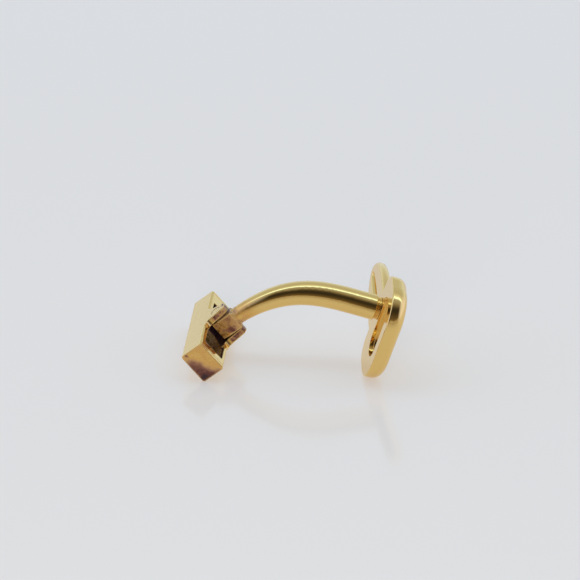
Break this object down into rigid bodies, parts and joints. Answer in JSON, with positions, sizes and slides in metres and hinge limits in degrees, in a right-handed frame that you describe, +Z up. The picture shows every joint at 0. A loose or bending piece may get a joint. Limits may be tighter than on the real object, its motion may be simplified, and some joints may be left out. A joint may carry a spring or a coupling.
{
  "type": "cufflink",
  "caption": "Cufflink with a padlock-shaped head, an arched round post and a hinged rectangular bar toggle.",
  "frame": {"origin": "middle of the bounding box in X and Y, on the surface it lies on", "axes": "+Z up, +X from the toggle towards the padlock, +Y away from the camera of the picture"},
  "size_m": [0.025, 0.0166, 0.0114],
  "materials": {
    "gilt_metal": "polished gold-coloured plate"
  },
  "bodies": {
    "head": {"padlock": "gilt_metal", "post": "gilt_metal"},
    "toggle": {"toggle_bar": "gilt_metal", "hinge_pin": "gilt_metal"}
  },
  "joints": [
    {"name": "toggle_hinge", "type": "hinge", "parent": "head", "child": "toggle", "pos_m": [-0.00759, -0.00008, 0.00406], "axis": [0.6382, -0.0587, -0.7676], "range_deg": [-85, 85]}
  ]
}
